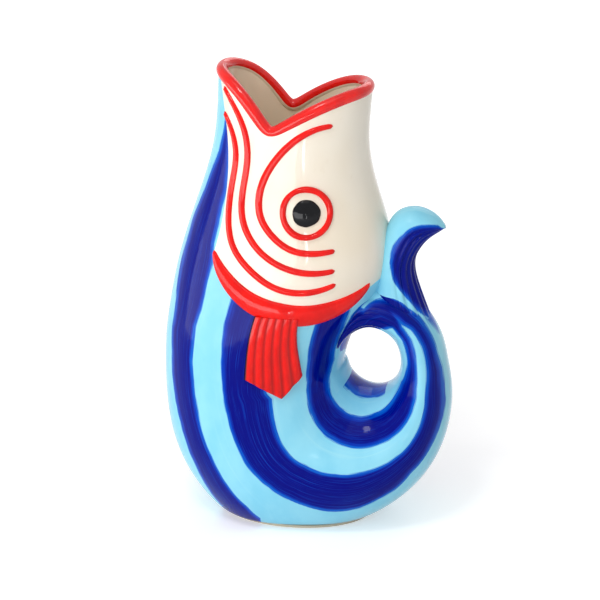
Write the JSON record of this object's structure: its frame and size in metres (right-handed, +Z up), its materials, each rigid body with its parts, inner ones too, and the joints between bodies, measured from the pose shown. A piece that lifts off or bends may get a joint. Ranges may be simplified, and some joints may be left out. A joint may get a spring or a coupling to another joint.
{
  "type": "gurgle jug",
  "caption": "Free-standing glazed ceramic gurgle jug shaped as a fish: open mouth as the pouring lip, hollow curled tail as the handle.",
  "frame": {"origin": "on the ground, under the middle of the jug's length and width", "axes": "+Z up; -X towards the chest and the high point of the mouth; +X towards the curled tail that is the handle; Y across the jug, which it mirrors; the near side of the picture is -Y, the fish's left"},
  "size_m": [0.1807, 0.1156, 0.2895],
  "materials": {
    "cream": "gloss cream-white glaze",
    "stripes": "gloss glaze over brushed cobalt and pale blue stripes",
    "fluke": "gloss glaze over brushed cobalt and pale blue",
    "red": "gloss red glaze",
    "black": "gloss black glaze",
    "bare_clay": "unglazed foot"
  },
  "bodies": {
    "root": {"chest_shell": "stripes", "belly_shell": "stripes", "base_shell": "stripes", "tail_root_shell": "stripes", "head_shell": "cream", "mouth_lip": "red", "tail_tube": "stripes", "lower_fluke": "fluke", "upper_fluke": "fluke", "foot_ring": "bare_clay", "gill_band_left": "red", "pectoral_fin_left": "red", "eye_ring_left": "red", "eye_pupil_left": "black", "cheek_line_upper_left": "red", "cheek_line_middle_left": "red", "cheek_line_lower_left": "red", "gill_band_right": "red", "pectoral_fin_right": "red", "eye_ring_right": "red", "eye_pupil_right": "black", "cheek_line_upper_right": "red", "cheek_line_middle_right": "red", "cheek_line_lower_right": "red"}
  },
  "joints": []
}
